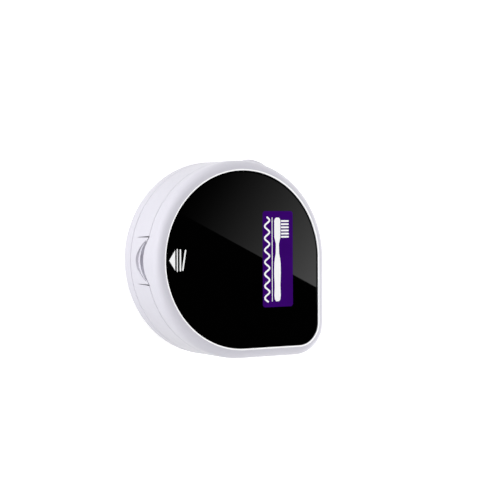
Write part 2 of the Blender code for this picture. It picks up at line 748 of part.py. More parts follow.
def screw(name, place, head_r, head_tall, shaft_r, length, flip):
    """A cross-head screw. Its origin is under the head, and flip turns its head down."""
    body = turned(name, ((shaft_r, -length), (shaft_r, 0.0)), (0, 0, 0), (0, 0, 1), 16)
    head = ((head_r, -0.01), (head_r, head_tall * 0.6), (head_r * 0.7, head_tall))
    join(body, turned("head", head, (0, 0, 0), (0, 0, 1), 20))
    slot = head_r * 0.55
    low = head_tall * 0.45
    cross = block("cross", (-slot, -0.22, low), (slot, 0.22, head_tall + 1))
    join(cross, block("bar", (-0.22, -slot, low), (0.22, slot, head_tall + 1)))
    cut(body, cross)
    finish(body, STEEL)
    body.location = Vector(place) * MM
    if flip:
        body.rotation_euler = (math.pi, 0.0, 0.0)
    return body


def fasteners():
    """Four screws from behind, two in the tray, two in the board, and the hinge pin."""
    for i, (x, y) in enumerate(cover_screw_places()):
        screw(f"cover_screw_{i + 1}", (x, y, COUNTERBORE_DEEP - 0.1), 1.85, 1.3, 0.8, 10.4, True)
    for i, (x, y) in enumerate(tray_screw_places()):
        screw(f"tray_screw_{i + 1}", (x, y, DECK_HIGH + 0.05), 1.7, 0.9, 0.8, 4.2, False)
    for i, (x, y) in enumerate(BOARD_SCREWS):
        screw(f"board_screw_{i + 1}", (x, y, BOARD_TOP + 0.05), 1.5, 0.8, 0.6, 5.2, False)
    finish(hinge_rod("hinge_pin", HINGE_START + 0.3, HINGE_END - 0.3, PIN_R), STEEL)


def power_button(pivot):
    """The domed cap, with the stem that presses the switch and two lugs that keep it in."""
    cap_low = 30.0
    profile = [(1.2, cap_low - 1.0), (1.2, cap_low), (BUTTON_R, cap_low)]
    profile += dome_profile(0.05, BUTTON_R, 6)
    cap = on_button_axis("power_button", profile)
    lugs = radial_block("lugs", BUTTON_ANGLE, (cap_low + 0.1, cap_low + 0.9), 5.4,
                        BUTTON_Z - 1.4, BUTTON_Z + 1.4)
    join(cap, lugs)
    return finish(cap, SHELL, pivot)


def main():
    for old in list(bpy.data.objects):
        bpy.data.objects.remove(old, do_unlink=True)
    lid_pivot = pivot_at("lid_pivot", (HINGE_X, 0.0, HINGE_Z))
    tab_pivot = pivot_at("tab_pivot", TAB_ROOT)
    button_pivot = pivot_at("button_pivot", (*polar(BODY_R, BUTTON_ANGLE), BUTTON_Z))
    rear_cover()
    base_shell()
    for piece in (lid_shell, front_panel, panel_adhesive, lid_liner, lid_magnet, lid_neck_seal):
        piece(lid_pivot)
    release_tab(tab_pivot)
    power_button(button_pivot)
    for group in (chamber_tray, uv_window, uv_lamp, neck_seal, control_board, board_parts, usb_socket,
                  power_supply, fasteners):
        group()


main()
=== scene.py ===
"""Looks of the toothbrush sanitizer: fine shells, printed panel, reflective lining and soft light.

Shapes are worked out in millimetres and become metres when a mesh is made. Sizes and places come
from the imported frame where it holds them; the rest repeat the part's own design values.
"""
import json
import math

import bmesh
import bpy
from mathutils import Matrix, Vector


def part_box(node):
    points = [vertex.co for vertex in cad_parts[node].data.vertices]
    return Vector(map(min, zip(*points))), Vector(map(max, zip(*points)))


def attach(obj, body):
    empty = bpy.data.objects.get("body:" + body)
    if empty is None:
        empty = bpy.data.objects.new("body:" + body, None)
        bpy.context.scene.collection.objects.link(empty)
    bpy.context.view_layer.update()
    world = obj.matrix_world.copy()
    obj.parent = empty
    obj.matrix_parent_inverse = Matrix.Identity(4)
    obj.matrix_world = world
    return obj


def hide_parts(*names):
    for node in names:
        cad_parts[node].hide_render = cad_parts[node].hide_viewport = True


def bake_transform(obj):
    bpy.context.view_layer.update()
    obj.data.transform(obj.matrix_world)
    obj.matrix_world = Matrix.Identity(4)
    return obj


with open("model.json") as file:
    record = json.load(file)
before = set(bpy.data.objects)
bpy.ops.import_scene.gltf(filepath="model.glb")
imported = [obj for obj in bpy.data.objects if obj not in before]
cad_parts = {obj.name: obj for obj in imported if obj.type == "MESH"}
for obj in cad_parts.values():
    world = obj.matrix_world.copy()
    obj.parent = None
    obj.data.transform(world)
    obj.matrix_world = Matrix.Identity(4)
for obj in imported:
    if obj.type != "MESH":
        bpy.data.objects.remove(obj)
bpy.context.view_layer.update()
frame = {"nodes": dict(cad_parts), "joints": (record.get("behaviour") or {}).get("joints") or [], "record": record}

MM = 0.001


def corners(node):
    """Lowest and highest corner of a CAD node, in millimetres."""
    low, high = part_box(node)
    return low / MM, high / MM


def joint(name):
    """A joint's entry in the frame."""
    return next(j for j in frame["joints"] if j["name"] == name)


def joint_place(name):
    """Where a joint's axis passes, in millimetres."""
    return Vector(joint(name)["pos_m"]) / MM


# Body, read from the frame.
BODY_R = corners("rear_cover")[1].x
DEPTH = corners("lid_shell")[1].z
HINGE = joint_place("lid_hinge")
PARTING_Z = HINGE.z
GAP = 0.3
REAR_SEAM_Z = corners("base_shell")[0].z - GAP / 2
PANEL_LOW = corners("front_panel")[0].z
PANEL_TOP = corners("front_panel")[1].z
PANEL_INSET = BODY_R - corners("front_panel")[1].x
BUTTON_AXIS = -Vector(joint("power_press")["axis"])
BUTTON_ANGLE = math.degrees(math.atan2(BUTTON_AXIS.y, BUTTON_AXIS.x))

# Body, the part's design values.
CORNER_R = 11.2
WALL = 2.0
BACK_INSET = 4.34
BACK_RISE = 3.41
SHOULDER_INSET = 3.55
SHOULDER_RISE = 3.58
LIP_INSET = 2.8
LIP_INNER = PANEL_INSET - 0.07
LIP_EDGE = 0.1
RIM_WIDTH = 0.48
PANEL_EDGE = 0.05
PANEL_BORDER = 0.6
BORDER_SLOPE = math.tan(math.radians(6))
ADHESIVE = 0.3
FLOOR = 1.8
LID_PLATE_LOW = 22.6
WALL_LEVELS = (21.6, 21.0, 20.4, 19.8)
NICK = 0.1
SEAM_GAP = 0.24
SEAM_ROUND = 0.16

# Hinge.
KNUCKLE_R = 2.05
RELIEF_R = 2.3
BORE_R = 0.8
HINGE_START = -21.6
KNUCKLES = (("base", 3.4), ("lid", 4.8), ("base", 2.6), ("lid", 4.8), ("base", 3.4))
WEDGE_SLOPE = math.tan(math.radians(54))
WEDGE_REACH = 9.5
WEDGE_BACK = 1.5
WEDGE_SPAN = (-32.0, 14.0)
BRACE_X = 32.6
BRACE_SPARE = 0.5

# Release tab.
TAB_HALF = 7.8
TAB_LOW = 10.6
TAB_INNER_X = -29.7
BULGE_HALF = 7.6
BULGE_LOW = 16.0
BULGE_GAP = 0.32
SLIT_LOW = 0.08
SLIT_HIGH = 0.5
STEP_FADE = 0.8
SCOOP_TIP = (6.95, 17.06)
SCOOP_PROFILE = ((-1.0, 10.95), (0.0, 10.95), (0.85, 10.93), (0.96, 10.98), (1.0, 11.12), (1.0, 11.75),
                 (1.04, 11.9), (1.14, 11.95), (1.26, 11.9), (2.6, 11.35))
HOOK_HALF = 3.5
HOOK_REACH = -31.22
CATCH_X = -31.3
CATCH_LOW = 19.3
CATCH_HIGH = 20.2

# Power button.
BUTTON_PROUD = 2.2
BUTTON_Z = (REAR_SEAM_Z + PARTING_Z) / 2
DOME_R = 4.2
DOME_FLAT = 2.0
BUTTON_R = 4.15
BUTTON_HOLE_R = 4.3
BUTTON_SEAT = 30.0
LUG_HALF = (5.4, 1.4)
BEZEL_FOOT = 5.7
BEZEL_INNER_R = 4.0
BEZEL_DEPTH = 1.6
BEZEL_BLEND = 0.22
BEZEL_SINK = 0.03

# Chamber.
TUB_LOW = (0.5, -30.6, 4.7)
TUB_HIGH = (22.5, 13.0, 17.5)
TUB_WALL = 1.0
TUB_FLOOR_TOP = 5.9
TUB_CORNER = 3.0
DECK_LOW = 17.3
DECK_HIGH = 18.4
WINDOW_HOLE = ((7.0, -18.0), (16.0, 6.0))
WINDOW_SEAT = ((6.0, -19.0), (17.0, 7.0))
NECK_X = 11.5
NECK_R = 5.0
NECK_Z = 13.9
FLANGE_HALF = 6.4
TONGUE_HALF = 3.6
LINER_INSET = 7.0
LINER_THICK = 0.8

# Ports and screws.
BOARD_TOP = corners("control_board")[1].z
USB_ANGLE = 48
USB_HALF = 4.47
USB_TALL = 3.26
LIGHT_ANGLE = 35
LIGHT_R = 1.1
PORT_REACH = (29.0, 36.0)
MAGNET_ANGLE = 100
MAGNET_REACH = 29.6
MAGNET_BOSS_R = 2.5
MAGNET_HOLE_R = 1.6
BOSS_REACH = BODY_R - WALL - 2.3
BOSS_R = 2.8
BOSS_TOP = 17.1
POST_R = 3.0
PILOT_R = 0.95
SCREW_HOLE_R = 1.15
SCREW_HEAD_R = 2.1
LEDGE = 0.85

# Cutters reach past what they cut.
ABOVE = 20.0
BELOW = -1.0

# Mesh.
SMOOTH_ANGLE = math.radians(32)
SHARP_ANGLE = math.radians(38)
EASED_ANGLE = math.radians(40)
EASED_EDGE = 0.06
WELD_GAP = 0.001
FLAT_STEPS = (0.02, 0.25, 0.5, 0.75, 0.98)


# ---------------------------------------------------------------- points and outlines

def steps(start, end, count):
    """Evenly spaced values from start to end, both ends included."""
    return [start + (end - start) * i / count for i in range(count + 1)]


def polar(radius, degrees, centre=(0.0, 0.0)):
    """The point at a distance and an angle from a centre, in the XY plane."""
    angle = math.radians(degrees)
    return centre[0] + radius * math.cos(angle), centre[1] + radius * math.sin(angle)


TAB_ANGLE = math.degrees(math.asin(BULGE_HALF / BODY_R))
ROUND_ANGLES = (steps(0, 180 - TAB_ANGLE, 150)[:-1] + steps(180 - TAB_ANGLE, 180 + TAB_ANGLE, 60)[:-1]
                + steps(180 + TAB_ANGLE, 270, 72))


def outline(inset):
    """The body's outline, moved inward: a 270 degree arc, two flats and the corner between."""
    radius = BODY_R - inset
    corner = CORNER_R - inset
    centre = (radius - corner, corner - radius)
    points = [polar(radius, a) for a in ROUND_ANGLES]
    points += [((radius - corner) * t, -radius) for t in FLAT_STEPS]
    points += [polar(corner, a, centre) for a in steps(270, 360, 28)]
    points += [(radius, (corner - radius) * (1 - t)) for t in FLAT_STEPS]
    return points


BULGE_DROP = PARTING_Z - BULGE_LOW
BULGE_R = (BULGE_HALF ** 2 + BULGE_DROP ** 2) / (2 * BULGE_DROP)


def bulge_height(y):
    """Height of the lid's lower edge: the parting plane, and an arc below it over the tab."""
    if abs(y) >= BULGE_HALF:
        return PARTING_Z
    return BULGE_LOW + BULGE_R - math.sqrt(BULGE_R ** 2 - y ** 2)


def ring(inset, z, follows_bulge=False):
    """The body's outline at one height, or following the lid's curved lower edge."""
    points = []
    scale = BODY_R / (BODY_R - inset)
    for x, y in outline(inset):
        drop = PARTING_Z - bulge_height(y * scale) if follows_bulge and x < 0 else 0.0
        points.append(Vector((x, y, z - drop)))
    return points


def quarter(count, start=0, end=90):
    """Sine and cosine of evenly spaced angles, for rounding an edge."""
    return [(math.sin(math.radians(a)), math.cos(math.radians(a))) for a in steps(start, end, count)]


def rounded_rectangle(low, high, radius, inset=0.0, count=10):
    """A rectangle in the XY plane with rounded corners, moved inward."""
    x0, y0, x1, y1 = low[0] + inset, low[1] + inset, high[0] - inset, high[1] - inset
    r = max(radius - inset, 0.05)
    centres = ((x1 - r, y1 - r, 0), (x0 + r, y1 - r, 90), (x0 + r, y0 + r, 180), (x1 - r, y0 + r, 270))
    points = []
    for x, y, start in centres:
        points += [polar(r, a, (x, y)) for a in steps(start, start + 90, count)]
    return points


def radial(angle, reach, side, z):
    """A point at a distance along a radius of the body, and to one side of it."""
    x, y = polar(reach, angle)
    dx, dy = polar(side, angle + 90)
    return Vector((x + dx, y + dy, z))


# ---------------------------------------------------------------- solids

def make(name, bm):
    """Turns a bmesh in millimetres into an object in metres, faces pointing out."""
    bmesh.ops.recalc_face_normals(bm, faces=bm.faces)
    bmesh.ops.scale(bm, vec=(MM, MM, MM), verts=bm.verts)
    mesh = bpy.data.meshes.new(name)
    bm.to_mesh(mesh)
    bm.free()
    piece = bpy.data.objects.new(name, mesh)
    bpy.context.scene.collection.objects.link(piece)
    return piece


def loft(name, rings, closed=False):
    """Joins rings of equal length by quads. Open lofts are capped, closed ones run round."""
    bm = bmesh.new()
    loops = [[bm.verts.new(p) for p in points] for points in rings]
    count = len(loops[0])
    pairs = list(zip(loops, loops[1:]))
    if closed:
        pairs.append((loops[-1], loops[0]))
    else:
        bm.faces.new(loops[0])
        bm.faces.new(loops[-1])
    for first, second in pairs:
        for i in range(count):
            j = (i + 1) % count
            bm.faces.new((first[i], first[j], second[j], second[i]))
    return make(name, bm)


def prism(name, points, low, high, axis="Z"):
    """Extrudes an outline along an axis. Points are given in the other two axes, in order."""
    places = {"X": lambda p, h: (h, p[0], p[1]),
              "Y": lambda p, h: (p[0], h, p[1]),
              "Z": lambda p, h: (p[0], p[1], h)}
    place = places[axis]
    return loft(name, [[Vector(place(p, h)) for p in points] for h in (low, high)])


def block(name, low, high):
    """A box between two corners."""
    points = ((low[0], low[1]), (high[0], low[1]), (high[0], high[1]), (low[0], high[1]))
    return prism(name, points, low[2], high[2])


def radial_block(name, angle, reach, half, low, high):
    """A box that faces the body's centre, between two distances from it."""
    ends = ((reach[0], -half), (reach[1], -half), (reach[1], half), (reach[0], half))
    return prism(name, [radial(angle, r, s, 0).xy for r, s in ends], low, high)


def turned(name, profile, base, direction, sides=64):
    """Turns a profile of (radius, distance) pairs about an axis."""
    axis = Vector(direction).normalized()
    across = axis.orthogonal().normalized()
    other = axis.cross(across)
    rings = []
    for radius, distance in profile:
        centre = Vector(base) + axis * distance
        rings.append([centre + radius * (math.cos(a) * across + math.sin(a) * other)
                      for a in (2 * math.pi * i / sides for i in range(sides))])
    return loft(name, rings)


def rod(name, start, end, radius, sides=48):
    """A cylinder between two points."""
    direction = Vector(end) - Vector(start)
    return turned(name, ((radius, 0), (radius, direction.length)), start, direction, sides)


def soft_rod(name, start, end, radius, edge=0.2, sides=48):
    """A cylinder with both rims rounded."""
    direction = Vector(end) - Vector(start)
    length = direction.length
    profile = [(radius - edge + edge * s, edge - edge * c) for s, c in quarter(4)]
    profile += [(radius - edge + edge * c, length - edge + edge * s) for s, c in quarter(4)]
    return turned(name, profile, start, direction, sides)


def combine(target, tool, operation):
    """Cuts, joins or keeps the overlap of two solids, and deletes the tool."""
    modifier = target.modifiers.new("combine", "BOOLEAN")
    modifier.operation = operation
    modifier.object = tool
    before = target.data
    depsgraph = bpy.context.evaluated_depsgraph_get()
    after = bpy.data.meshes.new_from_object(target.evaluated_get(depsgraph))
    target.modifiers.clear()
    target.data = after
    bpy.data.meshes.remove(before)
    after.name = target.name
    bpy.data.meshes.remove(tool.data)
    return target


def cut(target, tool):
    """Takes the tool's shape away."""
    return combine(target, tool, "DIFFERENCE")


def join(target, tool):
    """Adds the tool's shape."""
    return combine(target, tool, "UNION")


def soften(piece, width, inside=None, segments=2):
    """Rounds the sharp edges of a piece, or only those whose middle passes a test."""
    bm = bmesh.new()
    bm.from_mesh(piece.data)
    bmesh.ops.remove_doubles(bm, verts=bm.verts, dist=2 * WELD_GAP * MM)
    edges = []
    for edge in bm.edges:
        if len(edge.link_faces) != 2 or edge.calc_face_angle(0.0) < SHARP_ANGLE:
            continue
        middle = (edge.verts[0].co + edge.verts[1].co) / 2 / MM
        if inside is None or inside(middle):
            edges.append(edge)
    bmesh.ops.bevel(bm, geom=edges, offset=width * MM, offset_type="OFFSET", segments=segments,
                    profile=0.5, affect="EDGES", clamp_overlap=True, miter_outer="ARC")
    bm.to_mesh(piece.data)
    bm.free()
    return piece


def finish(piece, body, slot, material, *nodes):
    """Shades a piece, puts it on its body if it has one, and hides the CAD nodes it stands for."""
    piece.data.materials.clear()
    piece.data.materials.append(material)
    piece.data.shade_smooth()
    piece.data.set_sharp_from_angle(angle=SMOOTH_ANGLE)
    weighting = piece.modifiers.new("even_normals", "WEIGHTED_NORMAL")
    weighting.keep_sharp = True
    if body:
        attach(piece, body)
    if nodes:
        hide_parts(*nodes)
    return piece


# ---------------------------------------------------------------- shared shapes

def round_up(z, edge):
    """(inset, z) points of a rounded lower outer edge, from the underside up to the wall."""
    return [(edge * (1 - s), z + edge * (1 - c)) for s, c in quarter(4)]


def round_over(z, edge):
    """(inset, z) points of a rounded upper outer edge, from the wall to the top side."""
    return [(edge * (1 - c), z - edge * (1 - s)) for s, c in quarter(4)]


def rings_of(profile, follows_bulge=False):
    """A ring of the body's outline for each (inset, z) pair."""
    return [ring(inset, z, follows_bulge) for inset, z in profile]


def knuckle_spans(owner):
    """Where the knuckles of one shell lie along the hinge."""
    spans = []
    y = HINGE_START
    for name, length in KNUCKLES:
        if name == owner:
            spans.append((y, y + length))
        y += length + GAP
    return spans


HINGE_END = knuckle_spans("base")[-1][1]


def hinge_ends(low, high):
    """The two points of the hinge axis at these places along it."""
    return (HINGE.x, low, HINGE.z), (HINGE.x, high, HINGE.z)


def add_knuckles(shell, owner, other, wedge_side):
    """Cuts the corner that would bind and the room for the other shell's knuckles, and adds
    this shell's own with their bore."""
    far = HINGE.x + WEDGE_REACH
    corner = HINGE.z + wedge_side * WEDGE_REACH * WEDGE_SLOPE
    past = HINGE.z - wedge_side * WEDGE_BACK
    wedge = ((HINGE.x, HINGE.z), (far, corner), (far, past), (HINGE.x, past))
    cut(shell, prism("wedge", wedge, *WEDGE_SPAN, "Y"))
    for low, high in knuckle_spans(other):
        cut(shell, rod("relief", *hinge_ends(low - GAP, high + GAP), RELIEF_R))
    for low, high in knuckle_spans(owner):
        join(shell, soft_rod("knuckle", *hinge_ends(low, high), KNUCKLE_R))
    cut(shell, rod("bore", *hinge_ends(HINGE_START - 1, HINGE_END + 1), BORE_R))


def dome_height(radius):
    """How far from the body's centre the button's dome reaches, at a distance from its axis."""
    top = BODY_R + BUTTON_PROUD
    if radius <= DOME_FLAT:
        return top
    return top - DOME_R + math.sqrt(DOME_R ** 2 - (radius - DOME_FLAT) ** 2)


def on_button_axis(name, profile):
    """Turns a profile about the button's axis. Its distances are from the body's centre."""
    return turned(name, profile, (0.0, 0.0, BUTTON_Z), BUTTON_AXIS, sides=96)


def neck_slot(name, radius, low_y, high_y, top):
    """A U-shaped prism along Y, open upward."""
    points = [(NECK_X + radius, top), (NECK_X - radius, top)]
    points += [polar(radius, a, (NECK_X, NECK_Z)) for a in steps(180, 360, 48)]
    return prism(name, points, low_y, high_y, "Y")


def cover_screw_places():
    """Three bosses beside the round wall, and one in the squared-off corner."""
    side = BODY_R - CORNER_R
    places = [polar(BOSS_REACH, a) for a in (135, 225, 18)]
    places.append(polar(BOSS_REACH - side, 315, (side, -side)))
    return places


def near_slits(p):
    """Whether a point is on an edge of the slits beside the tab."""
    in_wall = p.x < -28 and TAB_LOW + 0.2 < p.z < PARTING_Z - 0.3
    return in_wall and TAB_HALF - 0.4 < abs(p.y) < TAB_HALF + 0.8


def on_hinge(p):
    """Whether a point is on the knuckles or the cut beside them."""
    return p.x > 27 and -33 < p.y < 14.5 and abs(p.z - PARTING_Z) < 5


# ---------------------------------------------------------------- shells

def is_within(place, inset):
    """Whether a point lies inside the body's outline moved inward by this much."""
    reach = BODY_R - inset
    if place.x < 0 or place.y > 0:
        return math.hypot(place.x, place.y) < reach
    corner = BODY_R - CORNER_R
    if place.x > corner and place.y < -corner:
        return math.hypot(place.x - corner, place.y + corner) < CORNER_R - inset
    return place.x < reach and place.y > -reach


def lid_shell(material, rim_highlight_material):
    """The front shell: panel recess, lip, rounded shoulder, wall with its bulge, catch and boss."""
    low = PARTING_Z + SEAM_GAP / 2
    first = math.degrees(math.asin(1 - LIP_INSET / SHOULDER_INSET))
    shoulder = [(SHOULDER_INSET * (1 - s), DEPTH - SHOULDER_RISE * (1 - c))
                for s, c in quarter(20, first, 90)]
    recess = [(LIP_INNER, PANEL_LOW - ADHESIVE)]
    recess += [(LIP_INNER - LIP_EDGE * (1 - c), DEPTH - LIP_EDGE * (1 - s)) for s, c in quarter(4)]
    recess += [(LIP_INNER - RIM_WIDTH, DEPTH), (LIP_INSET + 0.22, DEPTH), (LIP_INSET + 0.1, DEPTH - 0.02)]
    rings = rings_of(recess + shoulder)
    rings += rings_of([(0.0, z) for z in WALL_LEVELS])
    edge = [(0.0, low + 0.6)] + round_up(low, SEAM_ROUND)[::-1] + [(WALL - NICK, low), (WALL, low + NICK)]
    rings += rings_of(edge, True)
    rings += rings_of([(WALL, low + 1.2), (WALL, LID_PLATE_LOW - 1.0)])
    rings += rings_of([(WALL + 1.0 - c, LID_PLATE_LOW - 1.0 + s) for s, c in quarter(5)[1:]])
    shell = loft("lid_shell_fine", rings)

    join(shell, block("catch", (CATCH_X - 1.0, -HOOK_HALF, CATCH_LOW), (CATCH_X, HOOK_HALF, CATCH_HIGH)))
    join(shell, block("tongue", (NECK_X - TONGUE_HALF, -33.2, 17.9), (NECK_X + TONGUE_HALF, -31.8, 19.5)))
    x, y = polar(MAGNET_REACH, MAGNET_ANGLE)
    join(shell, rod("magnet_boss", (x, y, low + 0.15), (x, y, LID_PLATE_LOW + 0.1), MAGNET_BOSS_R))
    cut(shell, rod("magnet_hole", (x, y, 18.0), (x, y, LID_PLATE_LOW), MAGNET_HOLE_R))
    join(shell, block("brace", (HINGE.x - KNUCKLE_R, HINGE_START - BRACE_SPARE, low),
                      (BRACE_X, HINGE_END + BRACE_SPARE, LID_PLATE_LOW + 0.2)))
    add_knuckles(shell, "lid", "base", 1)
    soften(shell, 0.12, on_hinge)

    finish(shell, "lid", "shell_plastic", material, "lid_shell")
    shell.data.materials.append(rim_highlight_material)
    # The rim's faces take the second material, a painted highlight: whiter than the shell and faintly glowing.
    rim_foot = DEPTH - LIP_EDGE - 0.01
    for face in shell.data.polygons:
        place = face.center / MM
        if place.z > rim_foot and is_within(place, LIP_INNER - RIM_WIDTH):
            face.material_index = 1
    return shell


def base_wall(low, high):
    """The ring-shaped wall, with the ledge that carries the chamber tray."""
    ledge = WALL + LEDGE
    edge = 0.15
    spare = SEAM_ROUND + 0.4
    profile = round_up(low, SEAM_ROUND)
    profile += [(0.0, z) for z in steps(low + spare, high - spare, 12)]
    profile += round_over(high, SEAM_ROUND)
    profile += [(WALL - edge, high), (WALL, high - edge), (WALL, BOSS_TOP), (ledge - edge, BOSS_TOP),
                (ledge, BOSS_TOP - edge), (ledge, BOSS_TOP - 1.0), (WALL, BOSS_TOP - 2.2), (WALL, low + NICK),
                (WALL - NICK, low)]
    return loft("base_shell_fine", rings_of(profile), closed=True)


def button_bezel():
    """The raised collar round the button, which runs smoothly into the curved wall."""

    def turn(radius, reach_at):
        """A ring about the button's axis, whose distance from the body's centre may vary."""
        points = []
        for angle in steps(0, 360, 120)[:-1]:
            side, up = polar(radius, angle)
            reach = reach_at(radius, side)
            points.append(Vector((BUTTON_AXIS.x * reach - BUTTON_AXIS.y * side,
                                  BUTTON_AXIS.y * reach + BUTTON_AXIS.x * side, BUTTON_Z + up)))
        return points

    def crown(radius, side):
        """A smooth maximum of the round wall and the dome."""
        wall = math.sqrt(BODY_R ** 2 - side ** 2)
        heights = [math.exp((height - BODY_R) / BEZEL_BLEND) for height in (wall, dome_height(radius))]
        return BEZEL_BLEND * math.log(sum(heights)) + BODY_R

    radii = steps(BEZEL_INNER_R, BEZEL_FOOT, 16)
    rings = [turn(radius, crown) for radius in radii[:-1]]
    rings.append(turn(radii[-1], lambda radius, side: crown(radius, side) - BEZEL_SINK))
    rings += [turn(radius, lambda *_: BODY_R - BEZEL_DEPTH) for radius in (BEZEL_FOOT, BEZEL_INNER_R)]
    return loft("bezel", rings, closed=True)


def cut_wall_ports(shell):
    """The USB slot, the light guide's hole, and the slot for the brush neck."""
    inside, outside = PORT_REACH
    usb_z = BOARD_TOP + 0.1 + USB_TALL / 2
    half = USB_HALF + GAP
    tall = USB_TALL / 2 + GAP
    cut(shell, radial_block("usb", USB_ANGLE, PORT_REACH, half - tall, usb_z - tall, usb_z + tall))
    for side in (tall - half, half - tall):
        ends = [radial(USB_ANGLE, reach, side, usb_z) for reach in PORT_REACH]
        cut(shell, rod("usb_end", *ends, tall))
    ends = [radial(LIGHT_ANGLE, reach, 0, BOARD_TOP + 1.2) for reach in PORT_REACH]
    cut(shell, rod("light", *ends, LIGHT_R))
    cut(shell, neck_slot("neck", NECK_R - 0.1, -outside, -inside, ABOVE))
    cut(shell, block("flange_room", (NECK_X - FLANGE_HALF, -31.7, 15.0),
                     (NECK_X + FLANGE_HALF, -30.0, ABOVE)))


def base_shell(material):
    """The middle shell: wall, screw bosses, button collar, ports, tab window and hinge brace."""
    low = REAR_SEAM_Z + SEAM_GAP / 2
    high = PARTING_Z - SEAM_GAP / 2
    shell = base_wall(low, high)
    for x, y in cover_screw_places():
        join(shell, rod("boss", (x, y, low + 0.1), (x, y, BOSS_TOP - 0.05), BOSS_R))
        cut(shell, rod("hole", (x, y, low - 1), (x, y, 13.0), PILOT_R, 24))
    join(shell, button_bezel())
    cut(shell, on_button_axis("hole", ((BUTTON_HOLE_R, 28.0), (BUTTON_HOLE_R, 37.0))))
    cut_wall_ports(shell)
    window = ((-TAB_HALF - SLIT_LOW, TAB_LOW), (TAB_HALF + SLIT_LOW, TAB_LOW),
              (TAB_HALF + SLIT_HIGH, high + 1), (-TAB_HALF - SLIT_HIGH, high + 1))
    cut(shell, prism("window", window, -36.0, -28.5, "X"))
    left = HINGE.x - KNUCKLE_R
    foot = 12.5
    brace = ((left, high), (left, 16.0), (32.0, foot), (BRACE_X, foot), (BRACE_X, high))
    join(shell, prism("brace", brace, HINGE_START - BRACE_SPARE, HINGE_END + BRACE_SPARE, "Y"))
    add_knuckles(shell, "base", "lid", -1)

    def edge_to_round(p):
        """Edges of the slits, the hinge, the wall ports and the neck slot."""
        outside = math.hypot(p.x, p.y) > BODY_R - 0.6 or p.y < -BODY_R + 0.3
        port = outside and p.y > 4 and p.x > 4 and REAR_SEAM_Z + 1 < p.z < PARTING_Z - 1
        neck = outside and abs(p.x - NECK_X) < 6 and p.y < 0 and p.z < PARTING_Z
        return near_slits(p) or on_hinge(p) or port or neck

    soften(shell, 0.1, edge_to_round)
    return finish(shell, "base", "shell_plastic", material, "base_shell")


def rear_cover(material):
    """The dished rear shell, with a broad rounding at the back and four screw wells."""
    rim = REAR_SEAM_Z - SEAM_GAP / 2
    profile = [(BACK_INSET + 6.0, 0.0), (BACK_INSET + 0.6, 0.0)]
    profile += [(BACK_INSET * (1 - s), BACK_RISE * (1 - c)) for s, c in quarter(20)]
    profile += [(0.0, z) for z in (4.2, 5.2, 6.2)] + round_over(rim, SEAM_ROUND)
    profile += [(WALL - NICK, rim), (WALL, rim - NICK), (WALL, 4.6), (3.0, 2.6), (4.9, FLOOR)]
    cover = loft("rear_cover_fine", rings_of(profile))
    for x, y in cover_screw_places():
        join(cover, rod("post", (x, y, 1.0), (x, y, rim - 0.1), POST_R))
        cut(cover, rod("hole", (x, y, BELOW), (x, y, 8.0), SCREW_HOLE_R, 24))
        cut(cover, rod("counterbore", (x, y, BELOW), (x, y, 2.0), SCREW_HEAD_R))
    soften(cover, 0.15, lambda p: p.z < 1.3)
    return finish(cover, "base", "shell_plastic", material, "rear_cover")


def thumb_scoop():
    """The cutter for the thumb notch: a narrow step, a short upright face, then a ledge that
    slants down and in under the lid. Depths are measured from the round wall, and the step
    fades towards the tips."""
    half, tip_z = SCOOP_TIP
    inner, above, top = half - 1.0, tip_z + 0.4, 22.0
    rings = []
    for depth, low in SCOOP_PROFILE:
        rise = (tip_z - low) / half ** 2
        fade = STEP_FADE if 0 < depth < 2 else 0.0
        curve = [(y, low + rise * y * y) for y in steps(-half, half, 48)]
        curve += [(inner, above), (inner, top), (-inner, top), (-inner, above)]
        points = []
        for y, z in curve:
            sunk = depth * (1 - fade * (y / half) ** 2)
            points.append(Vector((sunk - math.sqrt(BODY_R ** 2 - y * y), y, z)))
        rings.append(points)
    return loft("scoop", rings)


def release_tab(material):
    """The flexing piece of wall between the slits, with its thumb scoop and its hook. It is put on no body, and
    its mesh is baked into place."""
    half_angle = math.degrees(math.asin(TAB_HALF / BULGE_R))
    centre = (0.0, BULGE_LOW + BULGE_R - BULGE_GAP)
    edge = [(TAB_HALF, TAB_LOW)]
    edge += [polar(BULGE_R, 270 + a, centre) for a in steps(half_angle, -half_angle, 60)]
    edge.append((-TAB_HALF, TAB_LOW))
    tab = prism("release_tab_fine", edge, -36.0, TAB_INNER_X, "X")
    combine(tab, loft("disc", rings_of([(0.0, z) for z in steps(9.0, 21.0, 48)])), "INTERSECT")
    wall_inner = WALL - BODY_R
    far = TAB_INNER_X + 1
    hollow = ((wall_inner, 9.0), (wall_inner, 10.7), (far, 13.0), (far, 9.0))
    cut(tab, prism("hollow", hollow, -9.0, 9.0, "Y"))
    cut(tab, thumb_scoop())
    back = TAB_INNER_X - 0.05
    foot, tip = 14.5, 21.4
    finger = ((-31.0, foot), (-31.0, 20.4), (HOOK_REACH, 20.5), (HOOK_REACH, 20.8), (-30.9, tip),
              (back, tip), (back, foot))
    join(tab, prism("finger", finger, -HOOK_HALF, HOOK_HALF, "Y"))
    soften(tab, 0.12, lambda p: p.z > TAB_LOW + 0.15)
    finish(tab, None, "shell_plastic", material, "release_tab")
    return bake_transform(tab)


def front_panel(material):
    """The glossy plate, with a narrow sloping border and a fine rounded edge."""
    side_top = PANEL_TOP - PANEL_BORDER * BORDER_SLOPE
    profile = [(PANEL_INSET, PANEL_LOW)]
    profile += [(PANEL_INSET + inset, z) for inset, z in round_over(side_top, PANEL_EDGE)]
    profile += [(PANEL_INSET + PANEL_BORDER + shift, PANEL_TOP + min(shift, 0.0) * BORDER_SLOPE)
                for shift in (-0.05, 0.0, 0.05)]
    profile += [(PANEL_INSET + 3.0, PANEL_TOP)]
    panel = loft("front_panel_fine", rings_of(profile))
    return finish(panel, "lid", "panel_acrylic", material, "front_panel")


